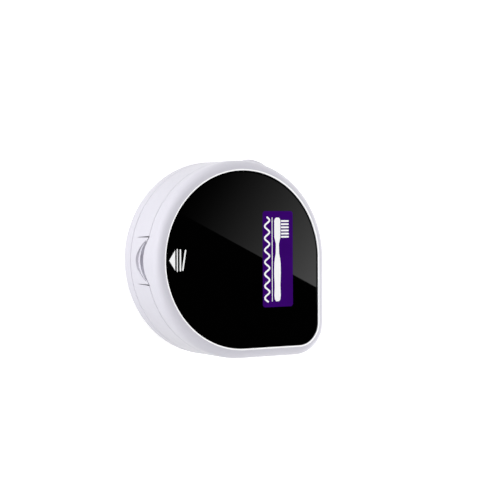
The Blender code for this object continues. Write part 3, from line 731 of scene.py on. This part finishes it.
def power_button(material):
    """The domed cap, with the stem that presses the switch and two lugs that keep it in."""
    stem = 1.2
    edge = 0.15
    rim = dome_height(BUTTON_R)
    profile = [(stem, BUTTON_SEAT - 1.0), (stem, BUTTON_SEAT), (BUTTON_R, BUTTON_SEAT)]
    profile += [(BUTTON_R - edge * (1 - c), rim - edge * (1 - s)) for s, c in quarter(4)]
    profile += [(r, dome_height(r)) for r in steps(BUTTON_R - 2 * edge, 0.05, 16)]
    cap = on_button_axis("power_button_fine", profile)
    across, along = LUG_HALF
    join(cap, radial_block("lugs", BUTTON_ANGLE, (BUTTON_SEAT + 0.1, BUTTON_SEAT + 0.9), across,
                           BUTTON_Z - along, BUTTON_Z + along))
    return finish(cap, "button", "shell_plastic", material, "power_button")


# ---------------------------------------------------------------- chamber

def chamber_tray(material):
    """The reflective deck and tub, with rounded rims and a rounded floor."""
    edge = 0.25
    profile = [(WALL + GAP + 3.0, DECK_LOW), (WALL + GAP, DECK_LOW), (WALL + GAP, DECK_HIGH - edge)]
    profile += [(WALL + GAP + inset, z) for inset, z in round_over(DECK_HIGH, edge)[1:]]
    profile += [(WALL + GAP + 1.0, DECK_HIGH)]
    tray = loft("chamber_tray_fine", rings_of(profile))
    outer = rounded_rectangle(TUB_LOW, TUB_HIGH, TUB_CORNER + TUB_WALL)
    join(tray, prism("tub", outer, TUB_LOW[2], DECK_LOW + 0.2))

    rim = 0.6
    foot = 1.6
    levels = [(TUB_WALL + foot - foot * s, TUB_FLOOR_TOP + foot - foot * c) for s, c in quarter(8)]
    levels += [(TUB_WALL, 12.0)]
    levels += [(TUB_WALL - rim + rim * c, DECK_HIGH - rim + rim * s) for s, c in quarter(8)]
    levels += [(TUB_WALL - rim, DECK_HIGH + 1.0)]
    well = []
    for inset, z in levels:
        around = rounded_rectangle(TUB_LOW, TUB_HIGH, TUB_CORNER + TUB_WALL, inset)
        well.append([Vector((x, y, z)) for x, y in around])
    cut(tray, loft("well", well))
    cut(tray, prism("window_hole", rounded_rectangle(*WINDOW_HOLE, 1.0), 3.0, 8.0))
    cut(tray, prism("window_seat", rounded_rectangle(*WINDOW_SEAT, 0.4), TUB_FLOOR_TOP - 0.7, 8.0))
    under_deck = DECK_LOW - 1.3
    cut(tray, neck_slot("neck", NECK_R + 0.2, -33.0, TUB_LOW[1] + 2.0, ABOVE))
    cut(tray, block("neck_room", (NECK_X - FLANGE_HALF, -33.0, under_deck),
                    (NECK_X + FLANGE_HALF, -30.8, ABOVE)))
    cut(tray, block("hinge_room", (28.6, HINGE_START - 1, under_deck), (34.0, HINGE_END + 1, ABOVE)))
    cut(tray, block("tab_room", (-34.0, -9.5, under_deck), (-28.3, 9.5, ABOVE)))
    places = cover_screw_places()
    for x, y in (places[0], places[3]):
        cut(tray, rod("hole", (x, y, under_deck), (x, y, ABOVE), SCREW_HOLE_R, 24))
    soften(tray, 0.12, lambda p: p.z > DECK_HIGH - 0.3)
    return finish(tray, "base", "reflector", material, "chamber_tray")


def lid_liner(material):
    """The reflective dish in the lid, with a rounded bottom and a rolled rim."""
    top = LID_PLATE_LOW - GAP
    rim = LINER_THICK / 2
    foot = 1.4
    low = corners("lid_liner")[0].z
    inner = LINER_INSET + LINER_THICK
    profile = [(LINER_INSET + foot, top)]
    profile += [(LINER_INSET + foot * (1 - s), top - foot * (1 - c)) for s, c in quarter(6)][1:]
    profile += [(LINER_INSET, low + 1.2)]
    profile += [(LINER_INSET + rim - rim * c, low + rim - rim * s) for s, c in quarter(5)]
    profile += [(LINER_INSET + rim + rim * s, low + rim - rim * c) for s, c in quarter(5)][1:]
    profile += [(inner + foot * (1 - c), top - LINER_THICK - foot * (1 - s)) for s, c in quarter(6)]
    profile += [(inner + foot + 2.0, top - LINER_THICK)]
    dish = loft("lid_liner_fine", rings_of(profile))
    return finish(dish, "lid", "reflector", material, "lid_liner")


# ---------------------------------------------------------------- printed marks on the panel

LABEL_LOW = (7.4, -16.5)
LABEL_HIGH = (19.7, 16.45)
LABEL_CORNER = 1.0
LABEL_THICK = 0.03
PRINT_THICK = 0.02
PRINT_SINK = 0.02
BRUSH_X = 13.35
WAVE_X = 9.15
WAVE_SWING = 0.95
WAVE_LENGTH = 4.1
RULE_X = 11.2
MARK_Y = 0.25


def stroke(name, points, width, low, high):
    """A printed line of even width with round ends, through the given (x, y) points."""
    left, right = [], []
    for i, here in enumerate(points):
        before = Vector(points[max(i - 1, 0)])
        after = Vector(points[min(i + 1, len(points) - 1)])
        along = (after - before).normalized()
        side = Vector((-along.y, along.x)) * width / 2
        left.append(Vector(here) + side)
        right.append(Vector(here) - side)
    ends = []
    for tip, other in ((points[-1], points[-2]), (points[0], points[1])):
        along = Vector(tip) - Vector(other)
        heading = math.degrees(math.atan2(along.y, along.x))
        ends.append([Vector(polar(width / 2, heading + a, tip)) for a in steps(-90, 90, 8)][1:-1])
    return prism(name, right + ends[0] + left[::-1] + ends[1], low, high)


def merge(name, parts):
    """Makes one object of several separate solids."""
    bm = bmesh.new()
    for part in parts:
        bm.from_mesh(part.data)
        bpy.data.meshes.remove(part.data)
    mesh = bpy.data.meshes.new(name)
    bm.to_mesh(mesh)
    bm.free()
    piece = bpy.data.objects.new(name, mesh)
    bpy.context.scene.collection.objects.link(piece)
    return piece


def label_plate(material):
    """The coloured field printed on the panel."""
    around = rounded_rectangle(LABEL_LOW, LABEL_HIGH, LABEL_CORNER)
    plate = prism("label_field", around, PANEL_TOP - PRINT_SINK, PANEL_TOP + LABEL_THICK)
    return finish(plate, "lid", "panel_acrylic", material)


def brush_outline(axis):
    """A toothbrush seen from the side, lying along Y: head, neck, waist and handle."""
    half_widths = ((14.2, 0.5), (13.9, 1.0), (13.2, 1.25), (7.4, 1.25), (6.4, 0.95), (5.2, 0.62), (1.8, 0.7),
                   (0.2, 1.05), (-1.6, 1.3), (-5.0, 1.35), (-9.0, 1.15), (-12.6, 1.3), (-14.0, 1.1),
                   (-14.6, 0.6))
    right = [(axis + half, y) for y, half in half_widths]
    return right + [(axis - half, y) for y, half in half_widths[::-1]]


def label_print(material):
    """White pictograms on the label: a brush with bristles, a light wave and a fine rule."""
    low = PANEL_TOP + LABEL_THICK - 0.01
    high = low + PRINT_THICK + 0.01
    broad, fine = 0.62, 0.26
    parts = [prism("brush", brush_outline(BRUSH_X), low, high)]
    for y in steps(7.6, 13.0, 5):
        parts.append(stroke("bristle", ((BRUSH_X + 1.75, y), (BRUSH_X + 4.4, y)), broad, low, high))
    turn = 2 * math.pi / WAVE_LENGTH
    wave = [(WAVE_X + WAVE_SWING * math.sin(turn * y), y) for y in steps(-14.6, 14.3, 120)]
    parts.append(stroke("wave", wave, broad, low, high))
    parts.append(stroke("rule", ((RULE_X, -14.5), (RULE_X, 14.2)), fine, low, high))
    return finish(merge("label_marks", parts), "lid", "panel_acrylic", material)


def open_mark(material):
    """White arrow and bar that show where the lid opens, and a pictogram of an open case."""
    low = PANEL_TOP - PRINT_SINK
    high = PANEL_TOP + PRINT_THICK
    half = 3.4
    arrow = ((-28.95, MARK_Y), (-26.7, MARK_Y - half), (-26.7, MARK_Y + half))
    parts = [prism("arrow", arrow, low, high)]
    lines = (("bar", (-25.92, -3.6), (-25.92, 3.6), 0.4),
             ("case_base", (-24.75, half), (-24.75, -half), 0.55),
             ("case_lid", (-23.85, -3.2), (-22.8, 3.2), 0.55))
    for name, start, end, width in lines:
        ends = ((start[0], MARK_Y + start[1]), (end[0], MARK_Y + end[1]))
        parts.append(stroke(name, ends, width, low, high))
    return finish(merge("open_marks", parts), "lid", "panel_acrylic", material)


# ---------------------------------------------------------------- materials

def new_material(name):
    """An empty node material and its shader."""
    material = bpy.data.materials.new(name)
    material.use_nodes = True
    return material, material.node_tree, material.node_tree.nodes["Principled BSDF"]


def node(tree, kind, **values):
    """Adds a node, with inputs given by name and settings by attribute."""
    made = tree.nodes.new(kind)
    for key, value in values.items():
        if key in made.inputs:
            made.inputs[key].default_value = value
        else:
            setattr(made, key, value)
    return made


def noise(tree, size, detail=4.0):
    """Noise in object space whose grains are about this many millimetres across."""
    place = node(tree, "ShaderNodeTexCoord")
    made = node(tree, "ShaderNodeTexNoise", Scale=1.0 / (size * MM), Detail=detail)
    tree.links.new(place.outputs["Object"], made.inputs["Vector"])
    return made


def map_range(tree, from_low, from_high, to_low, to_high):
    """A node that maps one range of values onto another, and holds at its ends."""
    made = node(tree, "ShaderNodeMapRange")
    limits = {"From Min": from_low, "From Max": from_high, "To Min": to_low, "To Max": to_high}
    for key, value in limits.items():
        made.inputs[key].default_value = value
    return made


def calculate(tree, operation, source, value):
    """The result of a sum with an output and a fixed second value."""
    made = node(tree, "ShaderNodeMath", operation=operation)
    made.inputs[1].default_value = value
    tree.links.new(source, made.inputs[0])
    return made.outputs["Value"]


def vary(tree, source, low, high, target):
    """Lets noise vary an input between two values."""
    ranged = map_range(tree, 0.3, 0.7, low, high)
    tree.links.new(source.outputs["Fac"], ranged.inputs["Value"])
    tree.links.new(ranged.outputs["Result"], target)


def tint(tree, source, first, second, target):
    """Blends two colours by noise."""
    ramp = node(tree, "ShaderNodeValToRGB")
    ramp.color_ramp.elements[0].position = 0.35
    ramp.color_ramp.elements[0].color = (*first, 1.0)
    ramp.color_ramp.elements[1].position = 0.65
    ramp.color_ramp.elements[1].color = (*second, 1.0)
    tree.links.new(source.outputs["Fac"], ramp.inputs["Fac"])
    tree.links.new(ramp.outputs["Color"], target)


def bump(tree, source, depth, shader, strength=0.6):
    """Raises the surface by a height in millimetres."""
    made = node(tree, "ShaderNodeBump", Strength=strength, Distance=depth * MM)
    tree.links.new(source.outputs["Fac"], made.inputs["Height"])
    tree.links.new(made.outputs["Normal"], shader.inputs["Normal"])


def surface(name, colour, drift, roughness, metallic=0.0, grain=0.3, depth=0.004, patch=9.0, **inputs):
    """A moulded, cast or printed surface: its colour drifts in broad patches, its roughness
    varies, and fine grain gives the relief."""
    material, tree, shader = new_material(name)
    shader.inputs["Metallic"].default_value = metallic
    for key, value in inputs.items():
        shader.inputs[key.replace("_", " ")].default_value = value
    broad = noise(tree, patch, 3.0)
    fine = noise(tree, grain, 6.0)
    second = [max(0.0, min(1.0, c * (1 - drift))) for c in colour]
    tint(tree, broad, colour, second, shader.inputs["Base Color"])
    vary(tree, noise(tree, patch / 4), roughness * 0.85, roughness * 1.15, shader.inputs["Roughness"])
    bump(tree, fine, depth, shader)
    return material


def glossy_panel():
    """Black acrylic: nearly a mirror, with a trace of polishing haze and hairlines."""
    material, tree, shader = new_material("panel_black")
    shader.inputs["Base Color"].default_value = (0.0004, 0.0004, 0.0004, 1.0)
    shader.inputs["IOR"].default_value = 1.49
    haze = noise(tree, 14.0, 3.0)
    vary(tree, haze, 0.006, 0.014, shader.inputs["Roughness"])
    place = node(tree, "ShaderNodeTexCoord")
    stretch = node(tree, "ShaderNodeMapping")
    stretch.inputs["Scale"].default_value = (1500.0, 60.0, 60.0)
    stretch.inputs["Rotation"].default_value = (0.0, 0.0, 0.6)
    hairlines = node(tree, "ShaderNodeTexNoise", Scale=1.0, Detail=2.0)
    tree.links.new(place.outputs["Object"], stretch.inputs["Vector"])
    tree.links.new(stretch.outputs["Vector"], hairlines.inputs["Vector"])
    bump(tree, hairlines, 0.0001, shader, 0.2)
    return material


def circuit_material():
    """Green solder mask over a net of copper traces, with scattered tinned pads."""
    material, tree, shader = new_material("board_green")
    place = node(tree, "ShaderNodeTexCoord")
    traces = node(tree, "ShaderNodeTexBrick", Scale=320.0)
    traces.inputs["Color1"].default_value = (0.012, 0.12, 0.04, 1.0)
    traces.inputs["Color2"].default_value = (0.016, 0.16, 0.055, 1.0)
    traces.inputs["Mortar"].default_value = (0.05, 0.30, 0.10, 1.0)
    traces.inputs["Mortar Size"].default_value = 0.03
    pads = node(tree, "ShaderNodeTexVoronoi", Scale=300.0)
    near = calculate(tree, "LESS_THAN", pads.outputs["Distance"], 0.16)
    mix = node(tree, "ShaderNodeMix", data_type="RGBA")
    mix.inputs["B"].default_value = (0.75, 0.74, 0.70, 1.0)
    tree.links.new(place.outputs["Object"], traces.inputs["Vector"])
    tree.links.new(place.outputs["Object"], pads.inputs["Vector"])
    tree.links.new(near, mix.inputs["Factor"])
    tree.links.new(traces.outputs["Color"], mix.inputs["A"])
    tree.links.new(mix.outputs["Result"], shader.inputs["Base Color"])
    tree.links.new(near, shader.inputs["Metallic"])
    shader.inputs["Roughness"].default_value = 0.35
    bump(tree, noise(tree, 0.5), 0.01, shader)
    return material


def clear_pane():
    """A clear pane with a faint blue cast and slight surface haze."""
    material, tree, shader = new_material("pane_clear")
    tint(tree, noise(tree, 6.0), (0.80, 0.86, 0.97), (0.84, 0.89, 0.98), shader.inputs["Base Color"])
    shader.inputs["Transmission Weight"].default_value = 0.9
    shader.inputs["IOR"].default_value = 1.46
    vary(tree, noise(tree, 4.0), 0.04, 0.10, shader.inputs["Roughness"])
    return material


SHELL_COLOUR = (0.585, 0.575, 0.635)
# The lip's rim is painted whiter than the shell and glows by this much. This is a painted highlight along the
# panel's edge, not a lamp.
RIM_PAINTED_GLOW = 0.09


def slot_materials():
    """One procedural material for each of the record's slots, and three more: one for the lip's rim, which is
    painted whiter than the shell and glows faintly as a painted highlight, and one for each of the two inks."""
    return {
        "shell_plastic": surface("shell_white", SHELL_COLOUR, 0.012, 0.36, grain=0.22, depth=0.003),
        # The lip's rim: a whiter colour and a faint glow, a painted highlight.
        "rim_painted_highlight": surface("rim_white_painted_glow", (0.95, 0.95, 0.96), 0.01, 0.2, grain=0.2, depth=0.001,
                               Emission_Color=(1.0, 1.0, 1.0, 1.0), Emission_Strength=RIM_PAINTED_GLOW),
        "panel_acrylic": glossy_panel(),
        "ink_purple": surface("ink_purple", (0.037, 0.001, 0.138), 0.10, 0.45, grain=0.15, depth=0.002,
                              patch=5.0, Specular_IOR_Level=0.02),
        "ink_white": surface("ink_white", (0.93, 0.935, 0.94), 0.03, 0.5, grain=0.12, depth=0.004, patch=3.0),
        "adhesive": surface("tape_film", (0.72, 0.72, 0.69), 0.05, 0.55, grain=0.6, depth=0.02),
        "reflector": surface("tub_metallised", (0.78, 0.79, 0.81), 0.01, 0.30, 0.75, grain=0.25, depth=0.002),
        "silicone": surface("seal_silicone", (0.60, 0.59, 0.65), 0.04, 0.62, grain=0.3, depth=0.01,
                            Sheen_Weight=0.15),
        "steel": surface("nickel_steel", (0.60, 0.59, 0.57), 0.06, 0.28, 1.0, grain=0.35, depth=0.004),
        "circuit_board": circuit_material(),
        "chip_resin": surface("resin_black", (0.018, 0.018, 0.020), 0.2, 0.5, grain=0.12, depth=0.01),
        "led_ceramic": surface("ceramic_ivory", (0.86, 0.82, 0.70), 0.05, 0.4, grain=0.2, depth=0.005),
        "window": clear_pane(),
        "cell_foil": surface("foil_silver", (0.55, 0.56, 0.58), 0.08, 0.34, 1.0, grain=1.6, depth=0.03),
        "foam": surface("foam_black", (0.030, 0.030, 0.032), 0.3, 0.95, grain=0.35, depth=0.12),
        "lead_red": surface("wire_red", (0.50, 0.020, 0.018), 0.1, 0.45, grain=0.3, depth=0.01),
        "lead_black": surface("wire_black", (0.016, 0.016, 0.017), 0.2, 0.45, grain=0.3, depth=0.01),
        "connector": surface("nylon_ivory", (0.78, 0.75, 0.66), 0.05, 0.5, grain=0.25, depth=0.01),
    }


def dress_cad_nodes(materials):
    """Gives each CAD node that stays in view the material of its slot, and eases its edges."""
    for part in frame["record"]["subparts"]:
        solid = frame["nodes"][part["node"]]
        if solid.hide_render:
            continue
        solid.data.materials.clear()
        solid.data.materials.append(materials[part["material_slot"]])
        weld = solid.modifiers.new("weld", "WELD")
        weld.merge_threshold = WELD_GAP * MM
        ease = solid.modifiers.new("ease", "BEVEL")
        ease.width = EASED_EDGE * MM
        ease.segments = 2
        ease.angle_limit = EASED_ANGLE
        ease.harden_normals = False
        solid.modifiers.new("even", "WEIGHTED_NORMAL")


# ---------------------------------------------------------------- floor, light and camera

# Places are in metres from here on.
CAMERA_PLACE = (-0.2484, 0.0146, 0.4293)
CAMERA_FORWARD = (0.5273, -0.0239, -0.8493)
CAMERA_UP = (0.0159, 0.9997, -0.0182)
CAMERA_LENS = 100.74

FLOOR_HALF = 2.0
FLOOR_Z = -0.0002
FLOOR_GLOW = 0.6

# Sky strength at the horizon, the height below it at which the sky ends, and how much more
# light comes from +Y.
HORIZON_LIGHT = 1.58
UNDER_Z = -0.55
SIDE_LIGHT = 0.15

# Each light's place and power.
SOFT_BOX_SIZE = 0.3
SOFT_BOXES = {"left": ((-0.62, 0.09, 0.12), 2.9), "right": ((0.485, -0.15, 0.36), 2.6)}

# The flag and the card hang over the panel. The card's near edge slants, and its glow is the
# square of a sum that grows along the gradient.
CARD_HEIGHT = 0.42
CARD_X = (0.14, 0.335)
CARD_SLOPE = -0.48
CARD_NEAR_Y = [0.110 + CARD_SLOPE * x for x in CARD_X]
CARD_FAR_Y = 0.075
CARD_GRADIENT = (8.14, -6.10, 0.0)
CARD_START = -1.40
FLAG_X = (0.05, 0.58)
FLAG_HALF = 0.25


def direction_matrix(place, forward, up):
    """Places something that looks along its own -Z."""
    back = -Vector(forward).normalized()
    side = Vector(up).cross(back).normalized()
    above = back.cross(side)
    return Matrix.Translation(place) @ Matrix((side, above, back)).transposed().to_4x4()


def plane(name, points):
    """One flat face through these points, which isn't part of the object."""
    bm = bmesh.new()
    bm.faces.new([bm.verts.new(p) for p in points])
    mesh = bpy.data.meshes.new(name)
    bm.to_mesh(mesh)
    bm.free()
    made = bpy.data.objects.new(name, mesh)
    bpy.context.scene.collection.objects.link(made)
    return made


def floor():
    """A plain pale table, lit a little from within like a light table. It throws no light on the
    body."""
    table = plane("floor", [(x * FLOOR_HALF, y * FLOOR_HALF, FLOOR_Z) for x, y in
                            ((-1, -1), (1, -1), (1, 1), (-1, 1))])
    material, tree, shader = new_material("floor_pale")
    shader.inputs["Base Color"].default_value = (0.82, 0.82, 0.82, 1.0)
    shader.inputs["Roughness"].default_value = 0.9
    shader.inputs["Specular IOR Level"].default_value = 0.0
    shader.inputs["Emission Color"].default_value = (1.0, 1.0, 1.0, 1.0)
    shader.inputs["Emission Strength"].default_value = FLOOR_GLOW
    table.data.materials.append(material)
    table.visible_diffuse = False


def camera():
    """The view of the front and the left side."""
    data = bpy.data.cameras.new("camera")
    data.lens = CAMERA_LENS
    data.clip_start = 0.01
    made = bpy.data.objects.new("camera", data)
    made.matrix_world = direction_matrix(CAMERA_PLACE, CAMERA_FORWARD, CAMERA_UP)
    bpy.context.scene.collection.objects.link(made)
    bpy.context.scene.camera = made


def sky():
    """White light, brightest at the horizon, fading to none overhead and well below, and a little
    stronger from +Y."""
    world = bpy.data.worlds.new("studio")
    world.use_nodes = True
    tree = world.node_tree
    place = node(tree, "ShaderNodeTexCoord")
    split = node(tree, "ShaderNodeSeparateXYZ")
    above = map_range(tree, 0.0, 1.0, HORIZON_LIGHT, 0.0)
    below = map_range(tree, UNDER_Z, 0.0, -HORIZON_LIGHT, 0.0)
    total = node(tree, "ShaderNodeMath", operation="ADD")
    beside = node(tree, "ShaderNodeMath", operation="MULTIPLY_ADD")
    beside.inputs[1].default_value = SIDE_LIGHT
    background = tree.nodes["Background"]
    background.inputs["Color"].default_value = (1.0, 1.0, 1.0, 1.0)
    tree.links.new(place.outputs["Generated"], split.inputs["Vector"])
    tree.links.new(split.outputs["Z"], above.inputs["Value"])
    tree.links.new(split.outputs["Z"], below.inputs["Value"])
    tree.links.new(above.outputs["Result"], total.inputs[0])
    tree.links.new(below.outputs["Result"], total.inputs[1])
    tree.links.new(split.outputs["Y"], beside.inputs[0])
    tree.links.new(total.outputs["Value"], beside.inputs[2])
    tree.links.new(beside.outputs["Value"], background.inputs["Strength"])
    bpy.context.scene.world = world


def soft_boxes():
    """Two square lights aimed at the body, a low one on the left and a higher one on the right.
    Reflections don't show them."""
    target = Vector((0.0, 0.0, DEPTH / 2 * MM))
    for name, (place, power) in SOFT_BOXES.items():
        data = bpy.data.lights.new(name, "AREA")
        data.shape = "SQUARE"
        data.size = SOFT_BOX_SIZE
        data.energy = power
        made = bpy.data.objects.new(name, data)
        made.matrix_world = direction_matrix(place, target - Vector(place), (0, 0, 1))
        made.visible_glossy = False
        bpy.context.scene.collection.objects.link(made)


def reflection_cards():
    """A black flag over the panel, and below it a glowing card with a slanting edge. Only
    reflections see them."""
    flag = plane("flag", [(FLAG_X[i], y, CARD_HEIGHT + 0.01) for i, y in
                          ((0, -FLAG_HALF), (1, -FLAG_HALF), (1, FLAG_HALF), (0, FLAG_HALF))])
    black, _, shader = new_material("flag_black")
    shader.inputs["Base Color"].default_value = (0.0, 0.0, 0.0, 1.0)
    shader.inputs["Specular IOR Level"].default_value = 0.0
    flag.data.materials.append(black)

    card = plane("card", [(CARD_X[i], y, CARD_HEIGHT) for i, y in
                          ((0, CARD_NEAR_Y[0]), (1, CARD_NEAR_Y[1]), (1, CARD_FAR_Y), (0, CARD_FAR_Y))])
    glow = bpy.data.materials.new("card_glow")
    glow.use_nodes = True
    tree = glow.node_tree
    tree.nodes.clear()
    place = node(tree, "ShaderNodeTexCoord")
    slope = node(tree, "ShaderNodeVectorMath", operation="DOT_PRODUCT")
    slope.inputs[1].default_value = CARD_GRADIENT
    level = calculate(tree, "ADD", slope.outputs["Value"], CARD_START)
    lit = calculate(tree, "MAXIMUM", level, 0.0)
    power = calculate(tree, "POWER", lit, 2.0)
    emission = node(tree, "ShaderNodeEmission")
    output = node(tree, "ShaderNodeOutputMaterial")
    tree.links.new(place.outputs["Object"], slope.inputs[0])
    tree.links.new(power, emission.inputs["Strength"])
    tree.links.new(emission.outputs["Emission"], output.inputs["Surface"])
    card.data.materials.append(glow)
    for made in (flag, card):
        made.visible_camera = False
        made.visible_diffuse = False
        made.visible_shadow = False


# ---------------------------------------------------------------- the scene

def build():
    """Makes every piece, then the floor, the light and the camera."""
    camera()
    materials = slot_materials()
    shell = materials["shell_plastic"]
    lid_shell(shell, materials["rim_painted_highlight"])
    base_shell(shell)
    rear_cover(shell)
    release_tab(shell)
    power_button(shell)
    front_panel(materials["panel_acrylic"])
    label_plate(materials["ink_purple"])
    label_print(materials["ink_white"])
    open_mark(materials["ink_white"])
    chamber_tray(materials["reflector"])
    lid_liner(materials["reflector"])
    dress_cad_nodes(materials)
    floor()
    sky()
    soft_boxes()
    reflection_cards()
    bpy.context.scene.view_settings.view_transform = "Standard"


build()
